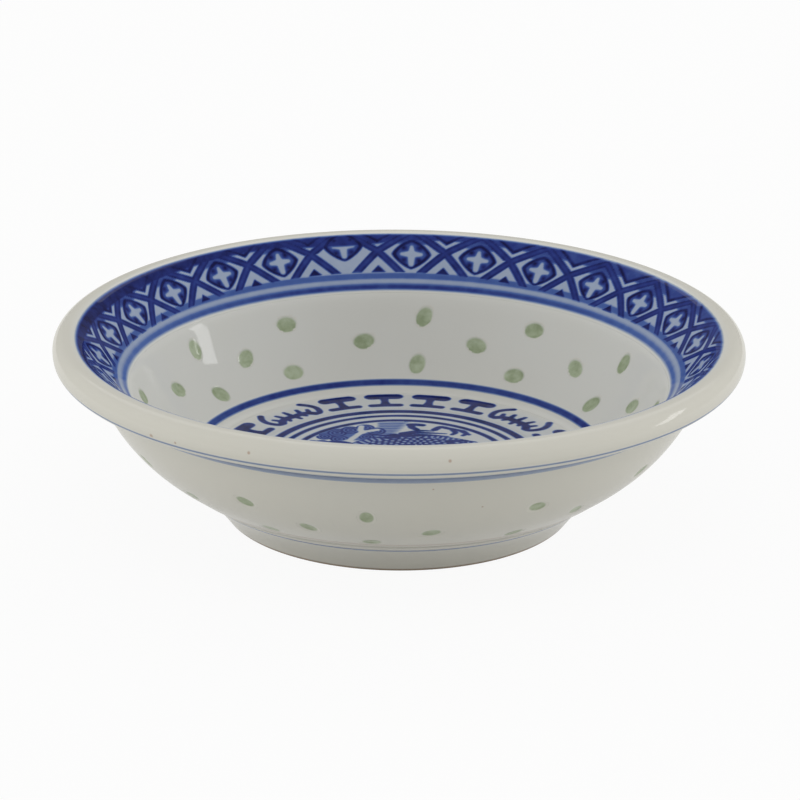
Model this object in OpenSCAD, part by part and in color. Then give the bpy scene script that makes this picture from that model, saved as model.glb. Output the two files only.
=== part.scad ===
// Rice-grain porcelain sauce dish.
// A thick turned body stands on a coved foot. Its wall is pierced with three rows of small
// oval holes that are closed with green glaze, and cobalt prints and banded lines lie on the clay.
// Millimetres, +Z up, origin at the middle of the foot on the table.

/* [Rim] */
// Diameter across the lip
rim_d = 100; // [90:1:115]
// Height of the dish
height = 27.2; // [24:0.1:34]
// Width of the plain lip, from its outer edge to the flare
lip_w = 3.5; // [3.3:0.1:4.2]
// Height of the lip's outer edge before it is rounded
lip_edge_h = 3.5; // [3.4:0.1:4.2]
// Radius of the lip's rolled outer edge
lip_round = 2; // [1:0.1:2]
// Radius where the top of the lip turns down into the flare
lip_inner_round = 3; // [1:0.1:3]
// Width of the flare inside the lip, measured level
flare_w = 7.6; // [7:0.1:8.5]
// Slope of the flare, from level
flare_angle = 45; // [40:1:50]
// Depth of the lip, from its top down to the neck under it
lip_drop = 6; // [5.5:0.1:7]
// How far the lip stands out past the neck
lip_overhang = 5.55; // [5:0.05:6.2]
// Radius of the hollow at the neck
neck_round = 2; // [0.5:0.1:3]

/* [Wall and floor] */
// Radius of the shoulder, where the flare meets the inner wall
shoulder_round = 5; // [1:0.5:7]
// How far the inner wall bows out from a straight line up it
inner_bow = 1.5; // [1:0.1:2]
// How far the outer wall bows out from a straight line up it
outer_bow = 2.4; // [1.8:0.1:3]
// Share of each half of a bowed run that its arc takes up
bow_share = 0.7; // [0.4:0.05:0.75]
// How far the edge of the floor lies outside the foot
floor_out = 3.4; // [2.5:0.1:4]
// Radius between the floor and the wall
well_round = 3; // [1:0.1:4]
// Thickness of the base under the floor
base_t = 4.15; // [3.5:0.05:5]

/* [Foot] */
// Diameter of the foot on the table
foot_d = 50.8; // [44:0.1:56]
// Width of the bare rim that the dish stands on
foot_rim_w = 2.5; // [1.5:0.1:3.5]
// Radius of the rim's two edges
foot_round = 0.4; // [0.2:0.05:0.5]
// Depth of the recess inside the foot
recess_h = 2.9; // [1.8:0.1:3.6]
// How far the side of the recess leans in from the rim to the ceiling
recess_taper = 0.9; // [0.3:0.1:2]
// Radius round the ceiling of the recess
recess_round = 1.2; // [0.4:0.1:1.4]
// How far the crease at the top of the cove lies outside the foot
cove_out = 7.2; // [6.6:0.1:7.6]
// Height of the crease at the top of the cove
cove_h = 6.75; // [6.3:0.05:7.2]
// Slope of the cove where it leaves the foot, from level
cove_foot_angle = 53; // [50:1:58]
// Slope of the cove at the crease, from level
cove_top_angle = 33; // [28:1:36]

/* [Grain windows] */
// Length of a grain hole
grain_l = 3.2; // [2.6:0.05:3.6]
// Width of a grain hole
grain_w = 2.2; // [1.8:0.05:2.4]
// Radius of a grain hole's ends
grain_end_r = 0.75; // [0.4:0.05:0.85]
// Distance up the wall from the floor's edge to the lowest row
row_low = 5.1; // [4.6:0.1:5.6]
// Distance down the wall from the shoulder to the highest row
row_high = 3.5; // [3:0.1:4]
// Depth of a glaze window below the faces of the wall
window_sink = 0.12; // [0.05:0.01:0.3]
// Gap between a glaze window and its hole
window_gap = 0.03; // [0.02:0.01:0.1]

/* [Cobalt lines] */
// Thickness of the pigment on the clay
film_t = 0.15; // [0.1:0.01:0.2]
// Distance from the lip to the upper edge of the border print, along the flare
border_start = 0.4; // [0.2:0.1:0.8]
// Width of the border print, along the flare
border_w = 7.4; // [6:0.1:7.8]
// Gap between the border print and the line under it
border_gap = 0.6; // [0.3:0.1:0.8]
// Width of the line under the border print
border_line_w = 1.4; // [0.6:0.1:1.5]
// Width of the line round the floor
well_line_w = 1.9; // [1:0.1:2.4]
// Distance up the wall from the floor's edge to the middle of the line round the floor
well_line_up = 1.8; // [1.5:0.1:2.4]
// Width of the thin line on the edge of the lip
lip_line_w = 0.45; // [0.2:0.05:0.8]
// Slope of the lip's face at the thin line, below level
lip_line_angle = 30; // [20:1:45]
// Width of the broad line under the lip
under_line_w = 0.8; // [0.4:0.1:1.2]
// Distance from the neck to the broad line under the lip
under_line_out = 3; // [2.4:0.1:3.2]
// Width of the line above the foot
foot_line_w = 0.6; // [0.3:0.1:1]
// Angle of the cove's arc from its middle up to the line above the foot
foot_line_turn = 3.7; // [0:0.1:5]

/* [Floor print] */
// Space between the bend at the floor's edge and the ring of bars and bats
fret_gap = 0.3; // [0.1:0.1:1]
// Width of the ring of bars and bats
fret_w = 5.3; // [4:0.1:5.8]
// Bars between two bats
bars_in_group = 4; // [3:1:4]
// Groups of bars, and so bats too
fret_groups = 4; // [3:1:4]
// Angle from bar to bar
bar_step = 16; // [14:0.5:16]
// Space between the inner strokes of two bars
bar_gap = 0.7; // [0.4:0.1:1.2]
// Thickness of a bar's outer stroke
bar_stroke = 1.7; // [1:0.1:2]
// Thickness of the inner stroke and of the stem
bar_thin = 1.3; // [0.8:0.1:1.6]
// Gap between a bat's outer uprights and its wings
upright_gap = 0.2; // [0.1:0.05:0.3]
// Turn of the ring from the +X axis to the middle of a group of bars
fret_turn = 87.5; // [0:0.5:90]
// Space between the ring of bars and the outermost medallion ring
ring_gap = 1.4; // [0.5:0.1:2]
// Width of a medallion ring
ring_w = 0.5; // [0.3:0.05:0.8]
// Distance from medallion ring to medallion ring
ring_pitch = 2.05; // [1.4:0.05:2.2]
// Medallion rings
ring_n = 3; // [2:1:3]
// Space between the innermost ring and the print inside it
print_gap = 0.8; // [0.5:0.1:1.5]

/* [Hidden] */

$fn = 180;

function unit(v) = v / norm(v);
function flat(corner) = [corner.x, corner.y];
function on_circle(angle) = [cos(angle), sin(angle)];

// Half of the angle at the corner b between a and c
function half_angle(a, b, c) = acos(unit(a - b) * unit(c - b)) / 2;
// Centre of the arc of radius r that rounds the corner
function arc_centre(a, b, c, r) = b + unit(unit(a - b) + unit(c - b)) * r / sin(half_angle(a, b, c));
// Distance from the corner to the points where its arc touches the sides
function arc_tangent(a, b, c, r) = r / tan(half_angle(a, b, c));
// Radius of the arc that takes up its share of the shorter side
function bow_round(a, b, c) = bow_share * min(norm(a - b), norm(c - b)) * tan(half_angle(a, b, c));
// Corner of a run from a up to b that bows outwards
function bow_corner(a, b, bow) = (a + b) / 2 + bow * [unit(b - a).y, -unit(b - a).x];
// Where the line from a at one slope meets the line from b at another
function meeting(a, slope_a, b, slope_b) =
    a + on_circle(slope_a) * cross(b - a, on_circle(slope_b)) / cross(on_circle(slope_a), on_circle(slope_b));

// The upper corners hang from the rim, and the lower ones stand on the foot
rim_r = rim_d / 2;
foot_r = foot_d / 2;
floor_z = recess_h + base_t;
foot_inner = [foot_r - foot_rim_w, 0];
foot_outer = [foot_r, 0];
recess = [foot_inner.x - recess_taper, recess_h];
crease = [foot_r + cove_out, cove_h];
cove = meeting(foot_outer, cove_foot_angle, crease, cove_top_angle);
neck = [rim_r - lip_overhang, height - lip_drop];
belly = bow_corner(crease, neck, outer_bow);
lip_edge = [rim_r, height - lip_edge_h];
rim_top = [rim_r, height];
flare_top = [rim_r - lip_w, height];
shoulder = flare_top - [flare_w, flare_w * tan(flare_angle)];
well = [foot_r + floor_out, floor_z];
inner_bend = bow_corner(well, shoulder, inner_bow);

// Half of the dish's section: radius, height and rounding of each corner
SECTION = [
    [0, recess_h, 0],
    [recess.x, recess.y, recess_round],
    [foot_inner.x, foot_inner.y, foot_round],
    [foot_outer.x, foot_outer.y, foot_round],
    [cove.x, cove.y, bow_round(foot_outer, cove, crease)],
    [crease.x, crease.y, 0],
    [belly.x, belly.y, bow_round(crease, belly, neck)],
    [neck.x, neck.y, neck_round],
    [lip_edge.x, lip_edge.y, lip_round],
    [rim_top.x, rim_top.y, lip_round],
    [flare_top.x, flare_top.y, lip_inner_round],
    [shoulder.x, shoulder.y, shoulder_round],
    [inner_bend.x, inner_bend.y, bow_round(well, inner_bend, shoulder)],
    [well.x, well.y, well_round],
    [0, floor_z, 0],
];

// How far an arc reaches past its tangent points, so that it crosses the sides cleanly
blend = 0.001;
// How far a corner's cutter reaches past the corner, as a share of the corner's distance
cutter_reach = 0.05;
// How far a hollow's cutter reaches past its tangent points, as a share of their distance
hollow_reach = 0.2;
// How far a band of pigment is looked for on each side of its place, across the face
band_reach = 1.5;
// How far the pins of the grain holes stand out of the wall
pierce_past = 1;

// Place of each grain round the wall and its lean from level, as the hand pierced them
UPPER_GRAINS = [[-5, 159], [25, 94], [56, 173], [84, 114], [118, 1], [146, 90],
                [180, 19], [209, 140], [239, 160], [264, 89], [298, 163], [327, 30]];
MIDDLE_GRAINS = [[10, 156], [40, 28], [70, 13], [99, 169], [132, 143], [160, 23],
                 [191, 60], [220, 10], [251, 136], [277, 19], [311, 130], [339, 45]];
LOWER_GRAINS = [[-3, 20], [27, 130], [57, 175], [85, 101], [120, 179], [146, 36],
                [176, 150], [207, 80], [239, 160], [264, 10], [298, 38], [328, 120]];

COBALT = [0.15, 0.21, 0.45];
COBALT_WASH = [0.33, 0.42, 0.62];
PORCELAIN = [0.92, 0.92, 0.89];
GREEN_GLAZE = [0.62, 0.69, 0.52];

// The section turns left at an outer corner and right at a hollow one
function is_hollow(a, b, c) = cross(b - a, c - b) < 0;

// A point before, at and after each corner of the section
function before(i) = flat(SECTION[i - 1]);
function at(i) = flat(SECTION[i]);
function after(i) = flat(SECTION[i + 1]);

// The outline keeps its outer corners, and cuts straight across each rounded hollow
function outline_points(i) =
    i == 0 || i == len(SECTION) - 1 || SECTION[i].z == 0 || !is_hollow(before(i), at(i), after(i))
    ? [at(i)]
    : let (tangent = arc_tangent(before(i), at(i), after(i), SECTION[i].z))
      [at(i) + unit(before(i) - at(i)) * tangent, at(i) + unit(after(i) - at(i)) * tangent];

// What is cut away at the corner b: outside its arc at an outer corner, inside it in a hollow
module corner_cutter(a, b, c, r) {
    centre = arc_centre(a, b, c, r);
    hollow = is_hollow(a, b, c);
    side = arc_tangent(a, b, c, r) * (hollow ? 1 + hollow_reach : 1);
    corner = [centre, b + unit(a - b) * side, b + (b - centre) * cutter_reach, b + unit(c - b) * side];
    if (hollow)
        intersection() {
            polygon(corner);
            translate(centre) circle(r + blend);
        }
    else
        difference() {
            polygon(corner);
            translate(centre) circle(r + blend);
        }
}

// Half of the dish's section with all its corners rounded
module section() {
    difference() {
        polygon([for (i = [0 : len(SECTION) - 1]) each outline_points(i)]);
        for (i = [1 : len(SECTION) - 2])
            if (SECTION[i].z > 0) corner_cutter(before(i), at(i), after(i), SECTION[i].z);
    }
}

// A band of pigment on the clay: where its middle is, which way the face looks, and its width
module pigment_band(middle, facing, width) {
    rotate_extrude()
        intersection() {
            difference() {
                translate(film_t * on_circle(facing)) section();
                section();
            }
            translate(middle) rotate(facing) square([2 * band_reach, width], center = true);
        }
}

// The straight line up the inner wall, on which the rows of grains are set out
wall_dir = unit(shoulder - well);
wall_middle = (shoulder + well) / 2;
wall_centre = arc_centre(crease, belly, neck, bow_round(crease, belly, neck));
pierce_l = norm(belly - wall_middle) + pierce_past;
row_pitch = (norm(shoulder - well) - row_low - row_high) / 2;

function row_point(row) = well + wall_dir * (row_low + row * row_pitch);
function row_facing(row) =
    let (from_centre = row_point(row) - wall_centre)
    atan2(from_centre.y, from_centre.x);

// An oval of two long arcs with a round end on each side
module oval(length, width, end_r) {
    end_x = length / 2 - end_r;
    side_r = (length * length / 4 + width * width / 4 - length * end_r) / (width - 2 * end_r);
    tangent_x = end_x * side_r / (side_r - end_r);
    difference() {
        intersection() {
            translate([0, side_r - width / 2]) circle(side_r);
            translate([0, width / 2 - side_r]) circle(side_r);
        }
        for (end = [0, 180])
            rotate(end)
                difference() {
                    translate([tangent_x, -width]) square([length, 2 * width]);
                    translate([end_x, 0]) circle(end_r + blend);
                }
    }
}

// Oval pins of one row, square to the wall, smaller by a gap all round
module grain_pins(row, grains, gap) {
    start = row_point(row);
    for (grain = grains)
        rotate(grain[0])
            translate([start.x, 0, start.y])
                rotate([0, 90 - row_facing(row), 0])
                    rotate(grain[1] - 90)
                        linear_extrude(pierce_l)
                            oval(grain_l - 2 * gap, grain_w - 2 * gap, grain_end_r - gap);
}

module porcelain_body() {
    color(PORCELAIN)
        difference() {
            rotate_extrude() section();
            grain_pins(0, LOWER_GRAINS, 0);
            grain_pins(1, MIDDLE_GRAINS, 0);
            grain_pins(2, UPPER_GRAINS, 0);
        }
}

// Glaze that closes the holes of one row, sunk a little below both faces of the wall
module grain_windows(row, grains) {
    sink = window_sink * on_circle(row_facing(row));
    color(GREEN_GLAZE)
        intersection() {
            rotate_extrude()
                intersection() {
                    translate(sink) section();
                    translate(-sink) section();
                }
            grain_pins(row, grains, window_gap);
        }
}

module grain_windows_upper() grain_windows(2, UPPER_GRAINS);
module grain_windows_middle() grain_windows(1, MIDDLE_GRAINS);
module grain_windows_lower() grain_windows(0, LOWER_GRAINS);

// The flare, measured from the lip down
flare_dir = unit(shoulder - flare_top);
flare_facing = 90 + flare_angle;
border_middle = flare_top + flare_dir * (border_start + border_w / 2);
border_line_middle = flare_top + flare_dir * (border_start + border_w + border_gap + border_line_w / 2);

module border_print() color(COBALT) pigment_band(border_middle, flare_facing, border_w);
module border_line() color(COBALT_WASH) pigment_band(border_line_middle, flare_facing, border_line_w);

// The line round the floor lies on the foot of the inner wall
well_dir = unit(inner_bend - well);
module well_line()
    color(COBALT)
        pigment_band(well + well_dir * well_line_up, 90 + atan2(well_dir.y, well_dir.x), well_line_w);

// The thin line lies on the rounding of the lip, the broad one on its underside
lip_arc_centre = arc_centre(neck, lip_edge, rim_top, lip_round);
module lip_line()
    color(COBALT_WASH)
        pigment_band(lip_arc_centre + lip_round * on_circle(-lip_line_angle), -lip_line_angle, lip_line_w);

under_dir = unit(lip_edge - neck);
module under_lip_line()
    color(COBALT_WASH)
        pigment_band(neck + under_dir * under_line_out, atan2(under_dir.y, under_dir.x) - 90, under_line_w);

// The line above the foot lies on the cove's arc
cove_round = bow_round(foot_outer, cove, crease);
cove_centre = arc_centre(foot_outer, cove, crease, cove_round);
cove_facing = atan2(cove_centre.y - cove.y, cove_centre.x - cove.x);
foot_line_facing = cove_facing - foot_line_turn;
module foot_line()
    color(COBALT_WASH)
        pigment_band(cove_centre - cove_round * on_circle(foot_line_facing), foot_line_facing, foot_line_w);

// The floor print fills the flat of the floor: a ring of bars and bats, then the medallion
fret_r = well.x - arc_tangent(inner_bend, well, [0, floor_z], well_round) - fret_gap;
bar_l = 2 * (fret_r - fret_w) * tan(bar_step / 2) - bar_gap;
ring_r = fret_r - fret_w - ring_gap;

// Lays a flat drawing on the floor as pigment
module floor_film() translate([0, 0, floor_z]) linear_extrude(film_t) children();

// A bar with two strokes and a stem, standing out from the middle of the dish
module bar_figure() {
    inner_r = fret_r - fret_w;
    translate([fret_r - bar_stroke, -bar_l / 2]) square([bar_stroke, bar_l]);
    translate([inner_r, -bar_l / 2]) square([bar_thin, bar_l]);
    translate([inner_r, -bar_thin / 2]) square([fret_w - bar_stroke / 2, bar_thin]);
}

// A curled wing end: part of a ring, open towards the middle of the bat
module wing_curl(curl_r, thickness) {
    difference() {
        circle(curl_r);
        circle(curl_r - thickness);
        translate([-curl_r * 2, 0]) square([curl_r * 4, curl_r * 2]);
    }
}

// A bat: two curled wing ends joined by a body bar, with three uprights between them
module bat_figure() {
    inner_r = fret_r - fret_w;
    curl_r = fret_w / 2;
    curl_out = bar_l / 2;
    body_l = bar_l + bar_thin / 2;
    upright_step = curl_out - bar_thin / 2 - upright_gap;
    for (side = [-1, 1])
        translate([inner_r + curl_r, side * curl_out])
            mirror([0, (1 - side) / 2])
                rotate(180) wing_curl(curl_r, bar_thin);
    for (step = [-1 : 1])
        translate([inner_r, step * upright_step - bar_thin / 2]) square([fret_w, bar_thin]);
    translate([inner_r, -body_l / 2]) square([bar_thin, body_l]);
}

group_step = 360 / fret_groups;

module fret_bars()
    color(COBALT)
        floor_film()
            for (group = [0 : fret_groups - 1])
                for (bar = [0 : bars_in_group - 1])
                    rotate(fret_turn + group * group_step + (bar - (bars_in_group - 1) / 2) * bar_step)
                        bar_figure();

module bat_figures()
    color(COBALT)
        floor_film()
            for (group = [0 : fret_groups - 1])
                rotate(fret_turn + (group + 0.5) * group_step) bat_figure();

module medallion_rings()
    color(COBALT)
        floor_film()
            for (ring = [0 : ring_n - 1])
                difference() {
                    circle(ring_r - ring * ring_pitch);
                    circle(ring_r - ring * ring_pitch - ring_w);
                }

module medallion_print()
    color(COBALT_WASH) floor_film() circle(ring_r - (ring_n - 1) * ring_pitch - ring_w - print_gap);

porcelain_body();
grain_windows_upper();
grain_windows_middle();
grain_windows_lower();
border_print();
border_line();
well_line();
fret_bars();
bat_figures();
medallion_rings();
medallion_print();
lip_line();
under_lip_line();
foot_line();
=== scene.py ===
"""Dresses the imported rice-grain porcelain sauce dish: turned body, glaze windows, cobalt prints and lines.

Lengths are in metres, written as millimetres times MM. The drawings of the prints are in millimetres.
"""

import math

import bpy
import numpy as np
from mathutils import Matrix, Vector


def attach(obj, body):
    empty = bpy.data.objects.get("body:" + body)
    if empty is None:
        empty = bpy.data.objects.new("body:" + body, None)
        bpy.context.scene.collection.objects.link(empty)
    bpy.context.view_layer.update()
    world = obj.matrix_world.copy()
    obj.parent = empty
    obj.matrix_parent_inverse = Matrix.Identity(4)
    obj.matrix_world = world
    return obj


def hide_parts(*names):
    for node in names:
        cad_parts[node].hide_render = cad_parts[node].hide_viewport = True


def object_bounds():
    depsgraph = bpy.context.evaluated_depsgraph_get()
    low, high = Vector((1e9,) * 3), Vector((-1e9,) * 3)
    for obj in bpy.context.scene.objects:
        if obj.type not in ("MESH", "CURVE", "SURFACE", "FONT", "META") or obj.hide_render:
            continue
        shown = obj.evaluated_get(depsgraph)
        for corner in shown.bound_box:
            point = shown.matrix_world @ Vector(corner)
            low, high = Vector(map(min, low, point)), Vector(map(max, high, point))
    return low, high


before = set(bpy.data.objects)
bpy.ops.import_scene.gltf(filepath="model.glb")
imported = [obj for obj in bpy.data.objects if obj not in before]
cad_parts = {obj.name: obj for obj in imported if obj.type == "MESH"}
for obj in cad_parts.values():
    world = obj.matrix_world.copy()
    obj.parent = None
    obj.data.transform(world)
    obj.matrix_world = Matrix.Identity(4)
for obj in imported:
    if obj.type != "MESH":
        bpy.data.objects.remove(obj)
CAD_LOW, CAD_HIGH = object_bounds()

bl_info = {
    "name": "Rice-grain sauce dish",
    "version": (1, 0, 0),
    "blender": (4, 5, 0),
    "location": "3D View > Sidebar > Dish",
    "description": "Builds a blue and white porcelain sauce dish with green glaze windows",
    "category": "Object",
}

MM = 0.001
WELD = 0.002 * MM
SMOOTH_ANGLE = math.radians(40)
SECTION_STEP = 0.05 * MM


def length(name, value, description):
    """A length that the user can change."""
    return bpy.props.FloatProperty(
        name=name, description=description, default=value, unit="LENGTH", precision=5
    )


def slope(name, degrees, description):
    """An angle that the user can change."""
    return bpy.props.FloatProperty(
        name=name, description=description, default=math.radians(degrees), unit="ROTATION"
    )


def colour(name, hex_value, description):
    """A colour that the user can change, written as sRGB hex and kept as linear."""
    return bpy.props.FloatVectorProperty(
        name=name, description=description, default=linear(hex_value), subtype="COLOR", size=3, min=0, max=1
    )


def linear(hex_value):
    """Linear red, green and blue of an sRGB hex colour."""
    shares = [int(hex_value[place : place + 2], 16) / 255 for place in (1, 3, 5)]
    return [share / 12.92 if share <= 0.04045 else ((share + 0.055) / 1.055) ** 2.4 for share in shares]


class DishSizes(bpy.types.PropertyGroup):
    """Sizes of the turned body, its holes and its pigment."""

    rim_radius: length("Rim radius", CAD_HIGH.x, "Radius across the lip")
    height: length("Height", CAD_HIGH.z, "Height of the dish")
    lip_width: length("Lip width", 3.5 * MM, "Width of the plain lip")
    lip_edge: length("Lip edge", 3.5 * MM, "Height of the lip's edge before it is rounded")
    lip_round: length("Lip rounding", 2 * MM, "Radius of the rolled lip")
    lip_inner_round: length("Lip inner rounding", 3 * MM, "Radius where the lip turns into the flare")
    flare_width: length("Flare width", 7.6 * MM, "Width of the flare, measured level")
    flare_slope: slope("Flare slope", 45, "Slope of the flare from level")
    lip_drop: length("Lip drop", 6 * MM, "Depth from the top of the lip to the neck")
    lip_overhang: length("Lip overhang", 5.55 * MM, "How far the lip stands out past the neck")
    neck_round: length("Neck rounding", 2 * MM, "Radius of the hollow at the neck")
    shoulder_round: length("Shoulder rounding", 5 * MM, "Radius where the flare meets the wall")
    inner_bow: length("Inner bow", 1.5 * MM, "How far the inner wall bows out")
    outer_bow: length("Outer bow", 2.4 * MM, "How far the outer wall bows out")
    bow_share: bpy.props.FloatProperty(
        name="Bow share",
        description="Share of a bowed run that its arc takes up",
        default=0.7,
        subtype="FACTOR",
    )
    foot_radius: length("Foot radius", 25.4 * MM, "Radius of the foot on the table")
    foot_rim: length("Foot rim", 2.5 * MM, "Width of the bare rim under the foot")
    foot_round: length("Foot rounding", 0.4 * MM, "Radius of the foot rim's edges")
    recess_depth: length("Recess depth", 2.9 * MM, "Depth of the recess under the dish")
    recess_taper: length("Recess taper", 0.9 * MM, "How far the side of the recess leans in")
    recess_round: length("Recess rounding", 1.2 * MM, "Radius round the recess's ceiling")
    base: length("Base", 4.15 * MM, "Thickness of the base")
    floor_out: length("Floor reach", 3.4 * MM, "How far the floor's edge lies outside the foot")
    well_round: length("Floor rounding", 3 * MM, "Radius between the floor and the wall")
    cove_out: length("Cove reach", 7.2 * MM, "How far the crease lies outside the foot")
    cove_height: length("Cove height", 6.75 * MM, "Height of the crease above the cove")
    cove_foot_slope: slope("Cove slope at the foot", 53, "Slope of the cove where it leaves the foot")
    cove_top_slope: slope("Cove slope at the top", 33, "Slope of the cove at the crease")
    grain_length: length("Grain length", 3.75 * MM, "Length of a grain hole")
    grain_width: length("Grain width", 2.75 * MM, "Width of a grain hole")
    row_low: length("Lowest row", 5.1 * MM, "Distance up the wall from the floor's edge to the lowest row")
    row_high: length("Highest row", 3.5 * MM, "Distance down the wall from the shoulder to the highest row")
    window_gap: length("Window gap", 0.01 * MM, "Gap round a window in its hole")
    window_hollow: length("Window hollow", 0.12 * MM, "Depth of a window's middle below the wall")
    pigment: length("Pigment", 0.03 * MM, "How far pigment and its glaze stand on the wall")


class DishColours(bpy.types.PropertyGroup):
    """Colours of the clay, the glazes and the pigment."""

    porcelain: colour("Porcelain", "#CDCDC7", "Clay under clear glaze, inside the dish")
    porcelain_warm: colour("Warm porcelain", "#CBC9BF", "Clay under clear glaze, outside the dish")
    pale_blue: colour("Pale blue", "#9CA7B8", "Glaze that has taken up a trace of cobalt")
    wash_blue: colour("Wash blue", "#4A649F", "Thin cobalt")
    slate_blue: colour("Slate blue", "#56678A", "Thin cobalt on the warmer clay outside the dish")
    deep_blue: colour("Deep blue", "#263377", "Full cobalt")
    dark_blue: colour("Dark blue", "#131544", "Cobalt where the ink lies thickest")
    celadon: colour("Celadon", "#ABB59B", "Green glaze in the grain holes")
    celadon_deep: colour("Deep celadon", "#8D997A", "Green glaze where it lies thickest")
    bare_clay: colour("Bare clay", "#8A7458", "Unglazed clay of the foot rim")
    # The iron colour also paints the brownish line along the crease, partly as painted shade in the crease
    # and partly as brown stain
    iron: colour("Iron", "#8F5F3C", "Specks of iron in the clay")
    floor: colour("Floor", "#DDDDDB", "Table under the dish")


def sizes():
    """The sizes that the scene holds."""
    return bpy.context.scene.dish_sizes


def colours():
    """The colours that the scene holds."""
    return bpy.context.scene.dish_colours


# Section of the body


def unit(vector):
    """The vector's direction."""
    return vector / np.linalg.norm(vector)


def bow_corner(low, high, bow):
    """Corner of a run from low to high that bows outwards."""
    along = unit(high - low)
    return (low + high) / 2 + bow * np.array([along[1], -along[0]])


def half_angle(before, corner, after):
    """Half of the angle at a corner."""
    return math.acos(np.dot(unit(before - corner), unit(after - corner))) / 2


def bow_round(before, corner, after):
    """Radius of the arc that takes up its share of the shorter side."""
    side = min(np.linalg.norm(before - corner), np.linalg.norm(after - corner))
    return sizes().bow_share * side * math.tan(half_angle(before, corner, after))


def meeting(start, start_slope, end, end_slope):
    """Where the line from start at one slope meets the line into end at another."""
    there = np.array([math.cos(start_slope), math.sin(start_slope)])
    back = np.array([math.cos(end_slope), math.sin(end_slope)])
    reach = end - start
    share = (reach[0] * back[1] - reach[1] * back[0]) / (there[0] * back[1] - there[1] * back[0])
    return start + there * share


def arc_middle(before, corner, after, radius):
    """Middle of the arc that rounds a corner."""
    inwards = unit(unit(before - corner) + unit(after - corner))
    return corner + inwards * radius / math.sin(half_angle(before, corner, after))


def rounding_arc(before, corner, after, radius):
    """Points of the arc that rounds a corner, about a step apart."""
    half = half_angle(before, corner, after)
    middle = arc_middle(before, corner, after, radius)
    first = corner + unit(before - corner) * radius / math.tan(half) - middle
    last = corner + unit(after - corner) * radius / math.tan(half) - middle
    turn = math.pi - 2 * half
    share = np.linspace(0, 1, max(8, int(radius * turn / SECTION_STEP)))[:, None]
    return middle + (first * np.sin((1 - share) * turn) + last * np.sin(share * turn)) / math.sin(turn)


def section_corners():
    """Named corners of half of the section, in order from under the dish, round the lip, to the floor."""
    s = sizes()
    foot_inner = np.array([s.foot_radius - s.foot_rim, 0])
    foot_outer = np.array([s.foot_radius, 0])
    crease = np.array([s.foot_radius + s.cove_out, s.cove_height])
    neck = np.array([s.rim_radius - s.lip_overhang, s.height - s.lip_drop])
    flare_top = np.array([s.rim_radius - s.lip_width, s.height])
    floor_height = s.recess_depth + s.base
    shoulder = flare_top - s.flare_width * np.array([1, math.tan(s.flare_slope)])
    well = np.array([s.foot_radius + s.floor_out, floor_height])
    return {
        "recess_middle": np.array([0, s.recess_depth]),
        "recess": np.array([foot_inner[0] - s.recess_taper, s.recess_depth]),
        "foot_inner": foot_inner,
        "foot_outer": foot_outer,
        "cove": meeting(foot_outer, s.cove_foot_slope, crease, s.cove_top_slope),
        "crease": crease,
        "belly": bow_corner(crease, neck, s.outer_bow),
        "neck": neck,
        "lip_edge": np.array([s.rim_radius, s.height - s.lip_edge]),
        "rim_top": np.array([s.rim_radius, s.height]),
        "flare_top": flare_top,
        "shoulder": shoulder,
        "inner_bend": bow_corner(well, shoulder, s.inner_bow),
        "well": well,
        "floor_middle": np.array([0, floor_height]),
    }


def section_path():
    """The section's outline with its corners rounded, as points a short step apart."""
    s = sizes()
    corners = section_corners()
    rounds = {
        "recess": s.recess_round,
        "foot_inner": s.foot_round,
        "foot_outer": s.foot_round,
        "neck": s.neck_round,
        "lip_edge": s.lip_round,
        "rim_top": s.lip_round,
        "flare_top": s.lip_inner_round,
        "shoulder": s.shoulder_round,
        "well": s.well_round,
    }
    names = list(corners)
    outline = [corners[names[0]]]
    for trio in zip(names, names[1:], names[2:]):
        name = trio[1]
        before, corner, after = (corners[each] for each in trio)
        if name == "crease":
            outline.append(corner)
            continue
        radius = rounds[name] if name in rounds else bow_round(before, corner, after)
        outline.extend(rounding_arc(before, corner, after, radius))
    outline = np.array([*outline, corners[names[-1]]])
    run = np.concatenate([[0], np.cumsum(np.linalg.norm(np.diff(outline, axis=0), axis=1))])
    places = np.linspace(0, run[-1], int(run[-1] / SECTION_STEP))
    return np.column_stack([np.interp(places, run, outline[:, 0]), np.interp(places, run, outline[:, 1])])


def nearest(path, point):
    """Index of the path's point nearest to a point."""
    return int(np.argmin(np.linalg.norm(path - point, axis=1)))


def outward(path):
    """Direction away from the clay at each point of the path."""
    along = np.gradient(path, axis=0)
    along /= np.linalg.norm(along, axis=1)[:, None]
    return np.column_stack([along[:, 1], -along[:, 0]])


# Modelling


def fresh_piece(name, add, **settings):
    """Adds a primitive with nothing else selected, and names it."""
    bpy.ops.object.select_all(action="DESELECT")
    bpy.context.tool_settings.mesh_select_mode = (True, False, False)
    add(**settings)
    piece = bpy.context.active_object
    piece.name = name
    piece.data.name = name
    return piece


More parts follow.
